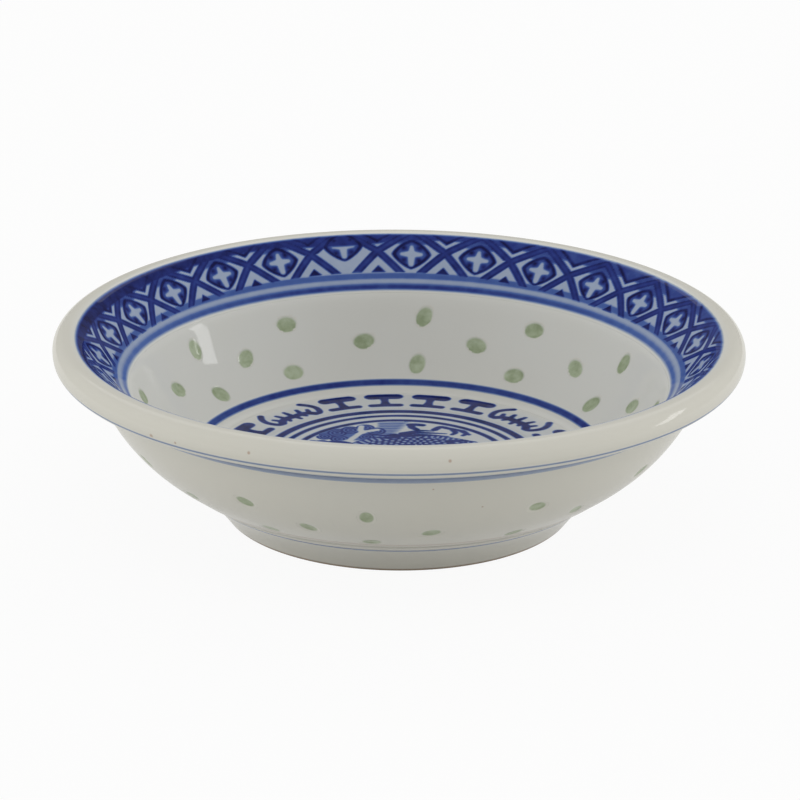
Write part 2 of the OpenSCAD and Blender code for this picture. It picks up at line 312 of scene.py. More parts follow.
def spun(name, profile, steps):
    """Draws a chain of edges through the profile's points and turns it once round the dish's axis."""
    piece = fresh_piece(name, bpy.ops.mesh.primitive_plane_add, size=MM)
    bpy.ops.object.mode_set(mode="EDIT")
    bpy.ops.mesh.select_all(action="SELECT")
    bpy.ops.mesh.merge(type="CENTER")
    bpy.ops.transform.translate(value=(profile[0][0], 0, profile[0][1]))
    for here, there in zip(profile, profile[1:]):
        move = (there[0] - here[0], 0, there[1] - here[1])
        bpy.ops.mesh.extrude_vertices_move(TRANSFORM_OT_translate={"value": move})
    bpy.ops.object.mode_set(mode="OBJECT")
    turn = piece.modifiers.new("turn", "SCREW")
    turn.steps = steps
    turn.render_steps = steps
    turn.use_merge_vertices = True
    turn.merge_threshold = WELD
    bpy.ops.object.modifier_apply(modifier=turn.name)
    bpy.ops.object.mode_set(mode="EDIT")
    bpy.ops.mesh.select_all(action="SELECT")
    bpy.ops.mesh.remove_doubles(threshold=WELD)
    bpy.ops.mesh.normals_make_consistent(inside=False)
    bpy.ops.object.mode_set(mode="OBJECT")
    bpy.ops.object.shade_smooth()
    return piece


def points_of(piece):
    """The piece's vertices as an array."""
    flat = np.zeros(len(piece.data.vertices) * 3)
    piece.data.vertices.foreach_get("co", flat)
    return flat.reshape(-1, 3)


def paint(piece, layer, strength):
    """Keeps one number per vertex for a material to read."""
    values = piece.data.attributes.new(layer, "FLOAT", "POINT")
    values.data.foreach_set("value", np.asarray(strength, np.float32))


def finish_piece(piece, material, slot, *nodes):
    """Marks which of a piece faces the outside, gives it its material and body, and hides the CAD nodes it
    stands in for; the slot is not used.
    """
    s = sizes()
    normals = np.zeros(len(piece.data.vertices) * 3)
    piece.data.vertices.foreach_get("normal", normals)
    facing_down = 1 - smooth_step(-0.1, 0.6, normals.reshape(-1, 3)[:, 2])
    x, y, _ = points_of(piece).T
    on_lip = smooth_step(s.rim_radius - s.lip_width, s.rim_radius - 2 * MM, np.hypot(x, y))
    paint(piece, "outside", np.maximum(on_lip, facing_down))
    piece.data.materials.clear()
    piece.data.materials.append(material)
    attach(piece, "root")
    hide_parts(*nodes)


def smooth_step(low, high, value):
    """Rises smoothly from 0 at low to 1 at high."""
    share = np.clip((value - low) / (high - low), 0, 1)
    return share * share * (3 - 2 * share)


# Materials

# Sockets of a mix node that mixes colours
MIX_LOW = 6
MIX_HIGH = 7
MIXED = 2

# Place and radius, in millimetres, of the specks of iron that show through the glaze
IRON_SPECKS = (
    ((-19.8, -45.9, 25.5), 0.3), ((-29.9, -40.0, 24.6), 0.25), ((6.8, -49.4, 25.9), 0.3),
    ((11.4, -40.1, 15.7), 0.2), ((4.7, -43.4, 19.5), 0.18), ((-33.3, -37.2, 24.5), 0.4),
)
SPECK_SHARE = 0.5
COBALT = "Cobalt under clear glaze"


def node(tree, kind, values=None, **settings):
    """Adds a node with its settings, and sets or links its sockets."""
    made = tree.nodes.new(kind)
    for key, value in settings.items():
        setattr(made, key, value)
    for socket, value in (values or {}).items():
        if isinstance(value, bpy.types.NodeSocket):
            tree.links.new(value, made.inputs[socket])
        else:
            made.inputs[socket].default_value = value
    return made


def opaque(value):
    """A colour with full alpha."""
    return (*value, 1)


def start_material(name):
    """A new material with its empty tree and the coordinates of its piece."""
    material = bpy.data.materials.new(name)
    material.use_nodes = True
    tree = material.node_tree
    tree.nodes.clear()
    place = node(tree, "ShaderNodeTexCoord").outputs["Object"]
    return material, tree, place


def porcelain_ground(tree, place):
    """Colour of the glazed clay: grey-white, warmer outside the dish and in clouds of a few centimetres."""
    c = colours()
    drift_size = 28 * MM
    drift = node(tree, "ShaderNodeTexNoise", {"Vector": place, "Scale": 1 / drift_size, "Detail": 2.0})
    outside = node(tree, "ShaderNodeAttribute", attribute_name="outside").outputs["Fac"]
    cloud = node(
        tree,
        "ShaderNodeMapRange",
        {"Value": drift.outputs["Fac"], "From Min": 0.35, "From Max": 0.65, "To Min": -0.2, "To Max": 0.2},
    )
    warmth = node(tree, "ShaderNodeMath", {0: outside, 1: cloud.outputs[0]}, operation="ADD", use_clamp=True)
    ground = node(
        tree,
        "ShaderNodeMix",
        {"Factor": warmth.outputs[0], MIX_LOW: opaque(c.porcelain), MIX_HIGH: opaque(c.porcelain_warm)},
        data_type="RGBA",
    )
    return ground.outputs[MIXED]


def glaze_shader(tree, base, place):
    """Clear feldspar glaze: glassy and colourless, with the slight ripple of a poured coat."""
    ripple_size = 5 * MM
    ripple = node(tree, "ShaderNodeTexNoise", {"Vector": place, "Scale": 1 / ripple_size, "Detail": 1.0})
    bump = node(
        tree, "ShaderNodeBump", {"Height": ripple.outputs["Fac"], "Strength": 0.25, "Distance": 0.05 * MM}
    )
    shader = node(
        tree,
        "ShaderNodeBsdfPrincipled",
        {
            "Base Color": base,
            "Roughness": 0.4,
            "Specular IOR Level": 0.0,
            "Coat Weight": 0.5,
            "Coat Roughness": 0.04,
            "Coat IOR": 1.45,
            "Coat Normal": bump.outputs["Normal"],
        },
    )
    node(tree, "ShaderNodeOutputMaterial", {"Surface": shader.outputs["BSDF"]})


def glazed_porcelain():
    """Jiggered porcelain under clear glaze: even grey-white, iron specks, brown on the bare foot rim, and a
    brownish line along the crease that is partly painted shade and partly stain.
    """
    material, tree, place = start_material("Clear glazed porcelain")
    c = colours()
    base = porcelain_ground(tree, place)
    for point, radius in IRON_SPECKS:
        spot = [value * MM for value in point]
        away = node(tree, "ShaderNodeVectorMath", {0: place, 1: spot}, operation="DISTANCE").outputs["Value"]
        reach = {"From Min": 0.4 * radius * MM, "From Max": radius * MM, "To Min": SPECK_SHARE, "To Max": 0.0}
        near = node(tree, "ShaderNodeMapRange", {"Value": away, **reach}).outputs[0]
        speck = {"Factor": near, MIX_LOW: base, MIX_HIGH: opaque(c.iron)}
        base = node(tree, "ShaderNodeMix", speck, data_type="RGBA").outputs[MIXED]
    # The crease's line is painted shade in part and brown stain in part; the foot rim's brown is the bare
    # clay
    for layer, shade_and_stain in (("crease", c.iron), ("bare", c.bare_clay)):
        share = node(tree, "ShaderNodeAttribute", attribute_name=layer).outputs["Fac"]
        shaded_and_stained = {"Factor": share, MIX_LOW: base, MIX_HIGH: opaque(shade_and_stain)}
        base = node(tree, "ShaderNodeMix", shaded_and_stained, data_type="RGBA").outputs[MIXED]
    glaze_shader(tree, base, place)
    return material


def underglaze_cobalt():
    """Cobalt print under clear glaze: blue that darkens with the ink and clouds where it was wiped on."""
    if COBALT in bpy.data.materials:
        return bpy.data.materials[COBALT]
    material, tree, place = start_material(COBALT)
    c = colours()
    ink = node(tree, "ShaderNodeAttribute", attribute_name="cobalt").outputs["Fac"]
    cloud_size = 1.6 * MM
    cloud = node(tree, "ShaderNodeTexNoise", {"Vector": place, "Scale": 1 / cloud_size, "Detail": 3.0})
    patchy = node(
        tree,
        "ShaderNodeMapRange",
        {"Value": cloud.outputs["Fac"], "From Min": 0.3, "From Max": 0.7, "To Min": 0.9, "To Max": 1.03},
    )
    strength = node(tree, "ShaderNodeMath", {0: ink, 1: patchy.outputs[0]}, operation="MULTIPLY").outputs[0]
    base = porcelain_ground(tree, place)
    outside = node(tree, "ShaderNodeAttribute", attribute_name="outside").outputs["Fac"]
    wash = node(
        tree,
        "ShaderNodeMix",
        {"Factor": outside, MIX_LOW: opaque(c.wash_blue), MIX_HIGH: opaque(c.slate_blue)},
        data_type="RGBA",
    )
    stops = (
        (0.0, 0.16, opaque(c.pale_blue)),
        (0.16, 0.5, wash.outputs[MIXED]),
        (0.5, 0.82, opaque(c.deep_blue)),
        (0.82, 1.0, opaque(c.dark_blue)),
    )
    for low, high, blue in stops:
        rise = node(tree, "ShaderNodeMapRange", {"Value": strength, "From Min": low, "From Max": high})
        inked = {"Factor": rise.outputs[0], MIX_LOW: base, MIX_HIGH: blue}
        base = node(tree, "ShaderNodeMix", inked, data_type="RGBA").outputs[MIXED]
    glaze_shader(tree, base, place)
    return material


def celadon_glaze():
    """Green glaze that fills the grain holes: glassy, streaked where it lies thicker, fading at the edge."""
    material, tree, place = start_material("Celadon glaze")
    c = colours()
    across = node(tree, "ShaderNodeAttribute", attribute_name="grain_x").outputs["Fac"]
    up = node(tree, "ShaderNodeAttribute", attribute_name="grain_y").outputs["Fac"]
    place_in_grain = node(tree, "ShaderNodeCombineXYZ", {0: across, 1: up}).outputs[0]
    reach = node(tree, "ShaderNodeVectorMath", {0: place_in_grain}, operation="LENGTH").outputs["Value"]
    outside = node(tree, "ShaderNodeAttribute", attribute_name="outside").outputs["Fac"]
    shrink = node(tree, "ShaderNodeMapRange", {"Value": outside, "To Min": 1.0, "To Max": 1.28}).outputs[0]
    reach = node(tree, "ShaderNodeMath", {0: reach, 1: shrink}, operation="MULTIPLY").outputs[0]
    fade = {"From Min": 0.78, "From Max": 1.0, "To Min": 1.0, "To Max": 0.0}
    cover = node(tree, "ShaderNodeMapRange", {"Value": reach, **fade}).outputs[0]
    pool_size = 6 * MM
    pool = node(tree, "ShaderNodeTexNoise", {"Vector": place, "Scale": 1 / pool_size, "Detail": 2.0})
    streak_size = 1.1 * MM
    streak = node(tree, "ShaderNodeTexNoise", {"Vector": place, "Scale": 1 / streak_size, "Detail": 3.0})
    both = {0: pool.outputs["Fac"], 1: streak.outputs["Fac"]}
    clouded = node(tree, "ShaderNodeMath", both, operation="ADD").outputs[0]
    spread = {"Value": clouded, "From Min": 0.75, "From Max": 1.25}
    depth = node(tree, "ShaderNodeMapRange", spread).outputs[0]
    deepening = {"Factor": depth, MIX_LOW: opaque(c.celadon), MIX_HIGH: opaque(c.celadon_deep)}
    green = node(tree, "ShaderNodeMix", deepening, data_type="RGBA").outputs[MIXED]
    filled = {"Factor": cover, MIX_LOW: porcelain_ground(tree, place), MIX_HIGH: green}
    base = node(tree, "ShaderNodeMix", filled, data_type="RGBA").outputs[MIXED]
    glaze_shader(tree, base, place)
    return material


# Body and its grain windows

BODY_STEPS = 432
PIN_CORNERS = 44
PIN_PAST = 1.5 * MM
# Strength of the line along the crease, partly painted shade in the crease and partly brown stain
CREASE_SHADE_AND_STAIN = 0.4

# Gaps between the lathe's points on the recess, the foot rim, the lip, the flare and the walls
RECESS_GAP = 2.5 * MM
FOOT_GAP = 0.12 * MM
LIP_GAP = 0.3 * MM
FLARE_GAP = 0.8 * MM
WALL_GAP = 0.43 * MM

# Half of the turn, in degrees, in which a grain has no neighbour in its row
GRAIN_SECTOR = 8

# Place of each grain round the wall and its lean from level, in degrees, as the hand pierced them
UPPER_GRAINS = (
    (-5, 159), (25, 94), (56, 173), (84, 114), (118, 1), (146, 90),
    (180, 19), (209, 140), (239, 160), (264, 89), (298, 163), (327, 30),
)
MIDDLE_GRAINS = (
    (10, 156), (40, 28), (70, 13), (99, 169), (132, 143), (160, 23),
    (191, 60), (220, 10), (251, 136), (277, 19), (311, 130), (339, 45),
)
LOWER_GRAINS = (
    (-3, 20), (27, 130), (57, 175), (85, 101), (120, 179), (146, 36),
    (176, 150), (207, 80), (239, 160), (264, 10), (298, 38), (328, 120),
)
ROWS = (
    ("grain_windows_lower", LOWER_GRAINS),
    ("grain_windows_middle", MIDDLE_GRAINS),
    ("grain_windows_upper", UPPER_GRAINS),
)


def body_profile():
    """Points of the section for the lathe: close together on the pierced wall and on tight bends."""
    path = section_path()
    corners = section_corners()
    s = sizes()

    def spacing(point):
        """The gap that is wanted at a point of the section."""
        radius, height = point
        if height < 2 * s.foot_round and radius > corners["recess"][0]:
            return FOOT_GAP
        if radius < corners["recess"][0]:
            return RECESS_GAP
        if radius > s.rim_radius - s.lip_width - MM and height > s.height - s.lip_edge - MM:
            return LIP_GAP
        if corners["shoulder"][1] < height and radius < corners["neck"][0] - MM:
            return FLARE_GAP
        return WALL_GAP

    kept = [path[0]]
    run = 0
    for here, there in zip(path, path[1:]):
        run += np.linalg.norm(there - here)
        if run >= spacing(there):
            kept.append(there)
            run = 0
    kept[-1] = path[-1]
    return kept


def row_frame(row):
    """Where a row's holes start inside the bowl, which way they run, and where they cross the two faces."""
    corners = section_corners()
    s = sizes()
    well, shoulder = corners["well"], corners["shoulder"]
    wall = np.linalg.norm(shoulder - well)
    pitch = (wall - s.row_low - s.row_high) / 2
    start = well + unit(shoulder - well) * (s.row_low + row * pitch)
    crease, belly, neck = corners["crease"], corners["belly"], corners["neck"]
    along = unit(start - arc_middle(crease, belly, neck, bow_round(crease, belly, neck)))
    path = section_path()
    off_line = np.abs((path - start) @ np.array([along[1], -along[0]]))
    ahead = (path - start) @ along
    near = np.where((off_line < SECTION_STEP) & (ahead > 0))[0]
    return start, along, ahead[near].min(), ahead[near].max()


def grain_place(start, along, angle, lean):
    """Matrix that sets a piece modelled along +Z into a grain hole."""
    tilt = math.pi / 2 - math.atan2(along[1], along[0])
    return (
        Matrix.Rotation(math.radians(angle), 4, "Z")
        @ Matrix.Translation((start[0], 0, start[1]))
        @ Matrix.Rotation(tilt, 4, "Y")
        @ Matrix.Rotation(math.radians(lean - 90), 4, "Z")
    )


def set_round(name, model, row):
    """Copies a model into each hole of a row and joins the copies into one piece."""
    start, along, _, _ = row_frame(row)
    _, grains = ROWS[row]
    copies = []
    for angle, lean in grains:
        copy = model.copy()
        copy.data = model.data.copy()
        copy.data.transform(grain_place(start, along, angle, lean))
        bpy.context.collection.objects.link(copy)
        copies.append(copy)
    bpy.ops.object.select_all(action="DESELECT")
    for copy in copies:
        copy.select_set(True)
    bpy.context.view_layer.objects.active = copies[0]
    bpy.ops.object.join()
    bpy.data.objects.remove(model)
    copies[0].name = name
    copies[0].data.name = name
    return copies[0]


def grain_prism(name, low, high, inset):
    """An oval prism along +Z between two distances, smaller by an inset all round."""
    s = sizes()
    piece = fresh_piece(
        name, bpy.ops.mesh.primitive_circle_add, vertices=PIN_CORNERS, radius=0.5, fill_type="NGON"
    )
    bpy.ops.object.mode_set(mode="EDIT")
    bpy.ops.transform.resize(value=(s.grain_length - 2 * inset, s.grain_width - 2 * inset, 1))
    bpy.ops.transform.translate(value=(0, 0, low))
    bpy.ops.mesh.extrude_region_move(TRANSFORM_OT_translate={"value": (0, 0, high - low)})
    bpy.ops.mesh.select_all(action="SELECT")
    bpy.ops.mesh.normals_make_consistent(inside=False)
    bpy.ops.object.mode_set(mode="OBJECT")
    return piece


def row_pins(row, inset):
    """Prisms that run through the wall at each hole of a row, smaller than the hole by an inset."""
    _, _, inner, outer = row_frame(row)
    return set_round("pins", grain_prism("pin", inner - PIN_PAST, outer + PIN_PAST, inset), row)


def cut(piece, tool, operation):
    """Cuts a piece with a tool, which is used up."""
    bpy.ops.object.select_all(action="DESELECT")
    piece.select_set(True)
    bpy.context.view_layer.objects.active = piece
    cutter = piece.modifiers.new("cut", "BOOLEAN")
    cutter.object = tool
    cutter.operation = operation
    cutter.solver = "EXACT"
    bpy.ops.object.modifier_apply(modifier=cutter.name)
    bpy.data.objects.remove(tool)


def hollow_windows(piece, row):
    """Dishes both ends of each window, and marks where in its grain each vertex is, from -1 to 1."""
    s = sizes()
    start, along, inner, outer = row_frame(row)
    _, grains = ROWS[row]
    points = points_of(piece)
    around = np.degrees(np.arctan2(points[:, 1], points[:, 0]))
    shares = np.zeros((len(points), 2))
    for angle, lean in grains:
        mine = np.abs((around - angle + 180) % 360 - 180) < GRAIN_SECTOR
        place = np.array(grain_place(start, along, angle, lean))
        local = (points[mine] - place[:3, 3]) @ place[:3, :3]
        shares[mine] = local[:, :2] / (s.grain_length / 2, s.grain_width / 2)
        inwards = np.sign((inner + outer) / 2 - local[:, 2])
        dip = s.window_hollow * np.clip(1 - np.sum(shares[mine] ** 2, axis=1), 0, 1) * inwards
        points[mine] += dip[:, None] * place[:3, 2]
    piece.data.vertices.foreach_set("co", points.ravel())
    paint(piece, "grain_x", shares[:, 0])
    paint(piece, "grain_y", shares[:, 1])


class DISH_OT_body(bpy.types.Operator):
    """Turn the pierced porcelain body on its axis"""

    bl_idname = "dish.body"
    bl_label = "Porcelain body"

    def execute(self, context):
        body = spun("porcelain_body_glazed", body_profile(), BODY_STEPS)
        for row in range(len(ROWS)):
            cut(body, row_pins(row, 0), "DIFFERENCE")
        bpy.ops.object.shade_smooth_by_angle(angle=SMOOTH_ANGLE)
        x, y, z = points_of(body).T
        radius = np.hypot(x, y)
        rim_start = sizes().foot_radius - sizes().foot_rim
        on_rim = smooth_step(rim_start - 0.6 * MM, rim_start, radius)
        paint(body, "bare", on_rim * (1 - smooth_step(0.25 * MM, 0.6 * MM, z)))
        # A brownish line painted along the crease, partly the shade that falls in the crease and partly stain
        shade_and_stain = section_corners()["crease"] + np.array([0.25, 0.3]) * MM
        away = np.hypot(radius - shade_and_stain[0], z - shade_and_stain[1])
        paint(body, "crease", CREASE_SHADE_AND_STAIN * (1 - smooth_step(0.05 * MM, 0.55 * MM, away)))
        finish_piece(body, glazed_porcelain(), "porcelain", "porcelain_body")
        return {"FINISHED"}


class DISH_OT_windows(bpy.types.Operator):
    """Fill the grain holes with green glaze"""

    bl_idname = "dish.windows"
    bl_label = "Glaze windows"

    def execute(self, context):
        glaze = celadon_glaze()
        for row, (name, _) in enumerate(ROWS):
            piece = row_pins(row, sizes().window_gap)
            piece.name = name + "_glazed"
            piece.data.name = piece.name
            cut(piece, spun("blank", body_profile(), BODY_STEPS), "INTERSECT")
            hollow_windows(piece, row)
            bpy.ops.object.shade_smooth_by_angle(angle=SMOOTH_ANGLE)
            finish_piece(piece, glaze, "green_glaze", name)
        return {"FINISHED"}


# Printed and banded cobalt

# How deep a film's hidden side lies in the wall, in thicknesses of pigment
SUNK = 4


def band(name, first, last, rows, steps, under_rows=2):
    """A thin ring of pigment and glaze between two points of the section, its edges sunk into the wall."""
    path = section_path()
    facing = outward(path)
    low, high = sorted((nearest(path, first), nearest(path, last)))
    places = np.linspace(low, high, rows).astype(int)
    pigment = sizes().pigment
    lift = np.full(rows, pigment)
    lift[[0, -1]] = -pigment
    top = path[places] + facing[places] * lift[:, None]
    hidden = np.linspace(high, low, under_rows).astype(int)
    under = path[hidden] - facing[hidden] * SUNK * pigment
    return spun(name, [*top, *under, top[0]], steps)


def along_flare(piece):
    """Each vertex's angle from the back of the dish to its right, and its distance down the flare."""
    corners = section_corners()
    x, y, z = points_of(piece).T
    down = unit(corners["shoulder"] - corners["flare_top"])
    offset = np.column_stack([np.hypot(x, y), z]) - corners["flare_top"]
    return np.degrees(np.arctan2(x, y)), offset @ down / MM


def stroke(distance, half_width, bleed=0.28):
    """Strength of a stroke of ink at a distance from its middle line, with a soft edge."""
    return np.clip((half_width - distance) / bleed + 0.5, 0, 1)


# The border, in millimetres down the flare, and in degrees from the back of the dish to its right
FLOWERS = 26
LATTICE_RADIUS = 43
FIRST_FLOWER = 2.4
SEAM_FLOWER = FIRST_FLOWER - 360 / FLOWERS
SEAM_RISE = 1.5
SEAM_COVER = 1.3
STRIP_START = -0.45
LATTICE_MIDDLE = 4.3
LATTICE_SAG = 0.65
LATTICE_LENGTHS = 3
LATTICE_TURN = 8
LATTICE_HALF = 3.05
CROSS_RISE = 0.5
UPPER_SLOPE = 0.7
LOWER_SLOPE = 1.05
ARM_HALF = 0.62
FIELD_ACROSS = 3.05
FIELD_UP = 2.65
FIELD_BULGE = 1.35
PETALS = (((-1.45, 0), 0.32), ((1.45, 0), 0.32), ((0, 1.25), 0.31), ((0, -1.75), 0.46))
HAZE = 0.21
LINE_HAZE = 0.24
BORDER_END = 8.5
BORDER_ROWS = 48
BORDER_STEPS = 60 * FLOWERS
BORDER_LINE = (8.1, 10.6)
BORDER_LINE_ROWS = 16
BORDER_LINE_STEPS = 720


def flower_ink(x, y):
    """Ink of a flower's field: blue with a thick dark edge and dark touches, round four white petals."""
    across = np.abs(x / FIELD_ACROSS)
    up = np.abs(y / FIELD_UP)
    bulge = (across**FIELD_BULGE + up**FIELD_BULGE) ** (1 / FIELD_BULGE)
    inside = (bulge - 1) * FIELD_UP
    edge = stroke(np.abs(inside + 0.3), 0.32)
    touches = stroke(np.hypot(np.abs(x) - 1.2, np.abs(y) - 1.1), 0.4, 0.6)
    ink = 0.74 + 0.28 * np.maximum(edge, touches)
    for tip, half_width in PETALS:
        ink += (HAZE - ink) * brush(x, y, ((0, 0), tip), 0.62, half_width)
    return ink, stroke(inside, 0.0)


def lattice_ink(x, y, half_cell, flower_rise):
    """Ink of one cell: dark crossing arms with white beside them, and a flower between the crossings."""
    above = y - CROSS_RISE
    arm_slope = np.where(above > 0, UPPER_SLOPE, LOWER_SLOPE)
    side = (arm_slope * (half_cell - np.abs(x)) - np.abs(above)) / np.hypot(1, arm_slope)
    arms = stroke(np.abs(side), ARM_HALF) * (0.84 + 0.16 * smooth_step(0, ARM_HALF, np.abs(side)))
    chevron = (above > 0) * stroke(side + 1.1, 0.0) * (0.78 + 0.22 * stroke(np.abs(side + 1.4), 0.3))
    triangle = (above < 0) * stroke(side + 1.7, 0.0)
    crown = 0.75 * smooth_step(1.4, 2.1, y) * stroke(-side, 0.0)
    ink = np.maximum.reduce([np.full(len(x), HAZE), arms, chevron, triangle, crown])
    flower, field = flower_ink(x, y - flower_rise)
    return ink + (flower - ink) * field


def border_ink(angle, down):
    """Ink of the border: a strip, the lattice, laid in three sagging lengths with a seam, and a soft line."""
    step = 360 / FLOWERS
    half_cell = math.pi * LATTICE_RADIUS / FLOWERS
    place = (angle - FIRST_FLOWER) / step
    x = (place - np.round(place)) * 2 * half_cell
    sag = LATTICE_SAG * np.cos(np.radians(LATTICE_LENGTHS * (angle + LATTICE_TURN)))
    y = LATTICE_MIDDLE - sag - down
    flower_rise = np.where(np.abs(angle - SEAM_FLOWER) < step / 2, SEAM_RISE, 0)
    ink = lattice_ink(x, y, half_cell, flower_rise)
    strip_edge = LATTICE_HALF - 0.3 - SEAM_COVER * np.exp(-(((angle - SEAM_FLOWER) / step) ** 2))
    strip = (0.86 - 0.12 * np.sin(np.radians(angle))) * smooth_step(-0.3, 0.3, y - strip_edge)
    ink = np.maximum(ink, strip)
    ink += (HAZE - ink) * smooth_step(0, 0.35, -y - LATTICE_HALF)
    line = 0.62 * smooth_step(6.75, 7.25, down) * (1 - smooth_step(7.8, BORDER_END, down))
    haze = LINE_HAZE * smooth_step(6.8, 7.6, down)
    return np.maximum.reduce([ink, line, haze]) * smooth_step(STRIP_START + 0.2, STRIP_START + 0.9, down)


class DISH_OT_border(bpy.types.Operator):
    """Lay the printed border and the banded line under it on the flare"""

    bl_idname = "dish.border"
    bl_label = "Border"

    def execute(self, context):
        corners = section_corners()
        down = unit(corners["shoulder"] - corners["flare_top"])
        top, end, line_top, line_end = (
            corners["flare_top"] + down * reach * MM for reach in (STRIP_START, BORDER_END, *BORDER_LINE)
        )
        cobalt = underglaze_cobalt()
        border = band("border_print_glazed", top, end, BORDER_ROWS, BORDER_STEPS)
        paint(border, "cobalt", border_ink(*along_flare(border)))
        finish_piece(border, cobalt, "cobalt_print", "border_print")
        line = band("border_line_glazed", line_top, line_end, BORDER_LINE_ROWS, BORDER_LINE_STEPS)
        angle, reach = along_flare(line)
        full = 0.52 + 0.32 * np.cos(np.radians(angle)) ** 2
        rise = LINE_HAZE + (full - LINE_HAZE) * smooth_step(8.55, 9.4, reach)
        paint(line, "cobalt", rise * (1 - smooth_step(9.6, 10.25, reach)))
        finish_piece(line, cobalt, "cobalt_print", "border_line")
        return {"FINISHED"}


# Places of the banded lines on the section, and how finely the lines are turned
LIP_LINE_TURN = math.radians(35)
WELL_LINE_UP = 1.7 * MM
UNDER_LIP_LINE_UP = 1.6 * MM
FOOT_LINE_PLACE = np.array([30.0, 4.85]) * MM
LINE_ROWS = 15
LINE_UNDER_ROWS = 9
LINE_STEPS = 540


def line_places():
    """Place on the section, width in millimetres, strength of ink and slot of each banded line."""
    c = section_corners()
    s = sizes()
    lip_middle = np.array([s.rim_radius - s.lip_round, s.height - s.lip_round])
    lip_line = lip_middle + s.lip_round * np.array([math.cos(LIP_LINE_TURN), -math.sin(LIP_LINE_TURN)])
    well_line = c["well"] + unit(c["inner_bend"] - c["well"]) * WELL_LINE_UP
    under_lip_line = c["neck"] + unit(c["lip_edge"] - c["neck"]) * UNDER_LIP_LINE_UP
    return {
        "well_line": (well_line, 1.0, 0.76, "cobalt_print"),
        "lip_line": (lip_line, 0.24, 0.55, "cobalt_wash"),
        "under_lip_line": (under_lip_line, 4.2, 0.38, "cobalt_wash"),
        "foot_line": (FOOT_LINE_PLACE, 0.5, 0.5, "cobalt_wash"),
    }


class DISH_OT_lines(bpy.types.Operator):
    """Band the plain blue lines round the floor, the lip and the foot"""

    bl_idname = "dish.lines"
    bl_label = "Banded lines"

    def execute(self, context):
        cobalt = underglaze_cobalt()
        path = section_path()
        for name, (place, width, strength, slot) in line_places().items():
            middle = nearest(path, place)
            reach = int((width / 2 + 0.3) * MM / np.linalg.norm(path[1] - path[0]))
            first, last = path[middle - reach], path[middle + reach]
            piece = band(name + "_glazed", first, last, LINE_ROWS, LINE_STEPS, LINE_UNDER_ROWS)
            x, y, z = points_of(piece).T
            off = np.hypot(np.hypot(x, y) - path[middle][0], z - path[middle][1]) / MM
            turn = np.arctan2(y, x)
            brush_load = strength * (1 + 0.08 * np.sin(turn + 0.6) + 0.06 * np.sin(3 * turn + 1.4))
            paint(piece, "cobalt", brush_load * stroke(off, width / 2, 0.25 + 0.1 * width))
            finish_piece(piece, cobalt, slot, name)
        return {"FINISHED"}


# The floor's print, in millimetres from the dish's axis, and in degrees. It sits a little off the axis.
PRINT_SHIFT = 0.22
PRINT_TURN = 87.5
PRINT_STRENGTH = 0.95
BAR_ANGLES = [PRINT_TURN + 90 * group + place for group in range(4) for place in (-24, -8, 8, 24)]
BAT_ANGLES = [PRINT_TURN + 45 + 90 * group for group in range(4)]
FRET_OUTER = 28.2
FRET_INNER = 21.1
FRET_ROWS = 44
FRET_STEPS = 1100
FLOOR_HAZE = 0.06
MEDALLION_EDGE = 21.5
MEDALLION_ROWS = 118
MEDALLION_STEPS = 740

# Radius and half width of the medallion's rings
RINGS = ((20.0, 0.62), (18.1, 0.42), (16.1, 0.44))


def smooth_curve(points, steps=5):
    """Points on a smooth curve through the given ones."""
    points = np.asarray(points, float)
    ends = np.vstack([2 * points[0] - points[1], points, 2 * points[-1] - points[-2]])
    curve = [points[0]]
    for a, b, c, d in zip(ends, ends[1:], ends[2:], ends[3:]):
        for t in np.arange(1, steps + 1) / steps:
            bend = 2 * b + (c - a) * t + (2 * a - 5 * b + 4 * c - d) * t**2 + (3 * b - a - 3 * c + d) * t**3
            curve.append(bend / 2)
    return np.array(curve)


def along_curve(x, y, curve):
    """Each point's distance to the curve, its share of the way along it, its side, and the curve's length."""
    distance = np.full(len(x), np.inf)
    along = np.zeros(len(x))
    side = np.zeros(len(x))
    run = 0.0
    for start, end in zip(curve, curve[1:]):
        step = end - start
        size = np.hypot(*step)
        share = np.clip(((x - start[0]) * step[0] + (y - start[1]) * step[1]) / size**2, 0, 1)
        off = np.hypot(x - start[0] - share * step[0], y - start[1] - share * step[1])
        closer = off < distance
        distance = np.where(closer, off, distance)
        along = np.where(closer, run + share * size, along)
        side = np.where(closer, np.sign(step[0] * (y - start[1]) - step[1] * (x - start[0])), side)
        run += size
    return distance, along / run, side * distance, run


def brush(x, y, points, start_width, end_width=None):
    """Ink of a brush stroke through the points, whose half width runs from one value to another."""
    end_width = start_width if end_width is None else end_width
    curve = smooth_curve(points)
    margin = max(start_width, end_width) + 1
    near = (x > curve[:, 0].min() - margin) & (x < curve[:, 0].max() + margin)
    near &= (y > curve[:, 1].min() - margin) & (y < curve[:, 1].max() + margin)
    ink = np.zeros(len(x))
    distance, along, _, _ = along_curve(x[near], y[near], curve)
    ink[near] = stroke(distance, start_width + (end_width - start_width) * along)
    return ink


def bar_ink(x, y):
    """Ink of a bar: two strokes across and a waisted stem between them."""
    outer = brush(x, y, ((-1.95, 26.5), (0, 26.55), (1.95, 26.5)), 1.05)
    inner = brush(x, y, ((-2.1, 22.7), (0, 22.8), (2.1, 22.7)), 0.6)
    stem = stroke(np.abs(x), 0.55 + 0.16 * (y - 24.6) ** 2) * (np.abs(y - 24.7) < 1.9)
    return np.maximum.reduce([outer, inner, stem])


